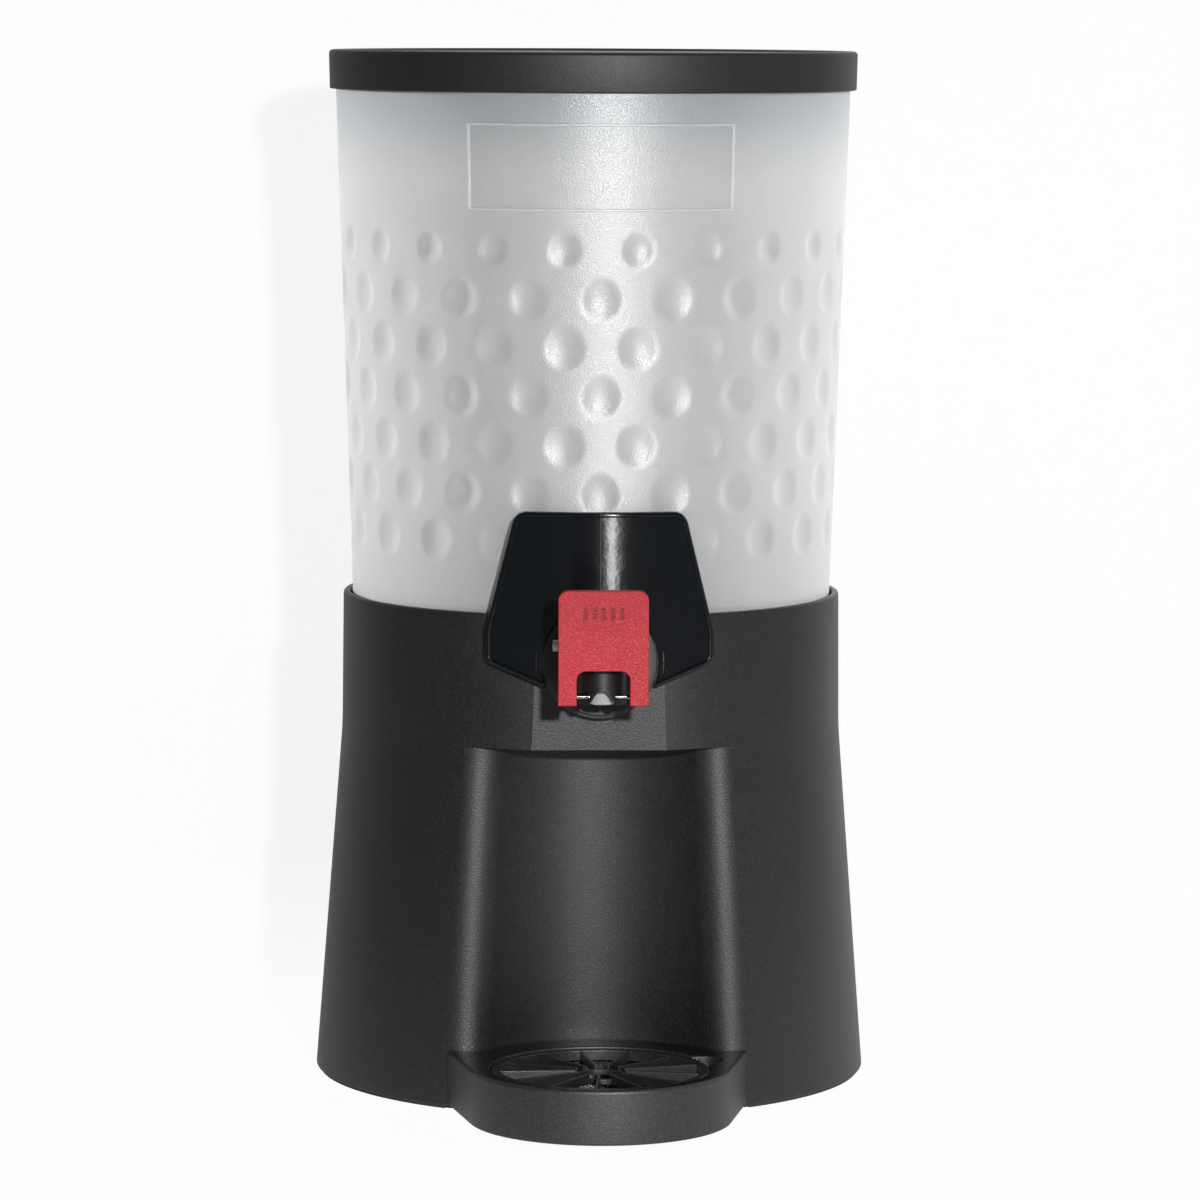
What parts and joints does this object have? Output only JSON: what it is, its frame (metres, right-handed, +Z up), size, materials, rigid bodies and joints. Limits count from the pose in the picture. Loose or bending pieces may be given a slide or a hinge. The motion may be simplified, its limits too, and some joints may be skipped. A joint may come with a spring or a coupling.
{
  "type": "juice dispenser",
  "caption": "Countertop juice dispenser: a dimpled frosted container with a lid in a flared dark base, a lever tap over a glass niche and a pull-out drip tray with a grille.",
  "frame": {"origin": "on the axis of the base, in the plane of the table that the foot ring stands on", "axes": "+Z up; -Y is the front, where the tap and the tray are; +X is to the right as seen from the front"},
  "size_m": [0.23, 0.2957, 0.426],
  "materials": {
    "base_plastic": "fine grained dark grey moulding",
    "lid_plastic": "fine grained near-black moulding",
    "frosted_plastic": "frosted, translucent, milky",
    "gloss_black": "polished black moulding",
    "satin_black": "satin black moulding",
    "collar_plastic": "matte dark grey moulding",
    "red_plastic": "grained red moulding",
    "pale_plastic": "smooth pale moulding",
    "grey_silicone": "soft grey silicone",
    "black_rubber": "black rubber",
    "steel": "drawn stainless steel"
  },
  "bodies": {
    "base": {"base_housing": "base_plastic", "foot_ring": "black_rubber"},
    "vessel": {"container": "frosted_plastic", "tap_shield": "gloss_black", "tap_collar": "collar_plastic", "tap_body": "satin_black", "outer_gasket": "black_rubber", "inner_gasket": "black_rubber", "shank_nut": "satin_black", "stem_gland": "pale_plastic", "stem_ring": "black_rubber", "bonnet": "satin_black", "return_spring": "steel", "pivot_pins": "steel"},
    "cover": {"lid": "lid_plastic"},
    "lever": {"tap_lever": "red_plastic"},
    "stem": {"valve_stem": "steel", "seat_cup": "grey_silicone", "link_pin": "steel", "pin_clip": "steel"},
    "tray": {"drip_tray": "base_plastic"},
    "grille": {"drip_grille": "satin_black"}
  },
  "joints": [
    {"name": "container_lift", "type": "slide", "parent": "base", "child": "vessel", "axis": [0, 0, 1], "range_m": [0, 0.1]},
    {"name": "lid_lift", "type": "slide", "parent": "vessel", "child": "cover", "axis": [0, 0, 1], "range_m": [0, 0.06]},
    {"name": "lever_pull", "type": "hinge", "parent": "vessel", "child": "lever", "pos_m": [0, -0.1345, 0.1729], "axis": [1, 0, 0], "range_deg": [0, 20], "stiffness_Nm_per_rad": 0.3, "springref_deg": -17.19},
    {"name": "stem_lift", "type": "slide", "parent": "vessel", "child": "stem", "axis": [0, 0, 1], "range_m": [0, 0.0038], "deforming": ["return_spring"]},
    {"name": "tray_pull", "type": "slide", "parent": "base", "child": "tray", "axis": [0, -1, 0], "range_m": [0, 0.12]},
    {"name": "grille_lift", "type": "slide", "parent": "tray", "child": "grille", "axis": [0, 0, 1], "range_m": [0, 0.05]}
  ],
  "couplings": [
    {"joint": "stem_lift", "follows": "lever_pull", "m_per_rad": 0.0106}
  ]
}
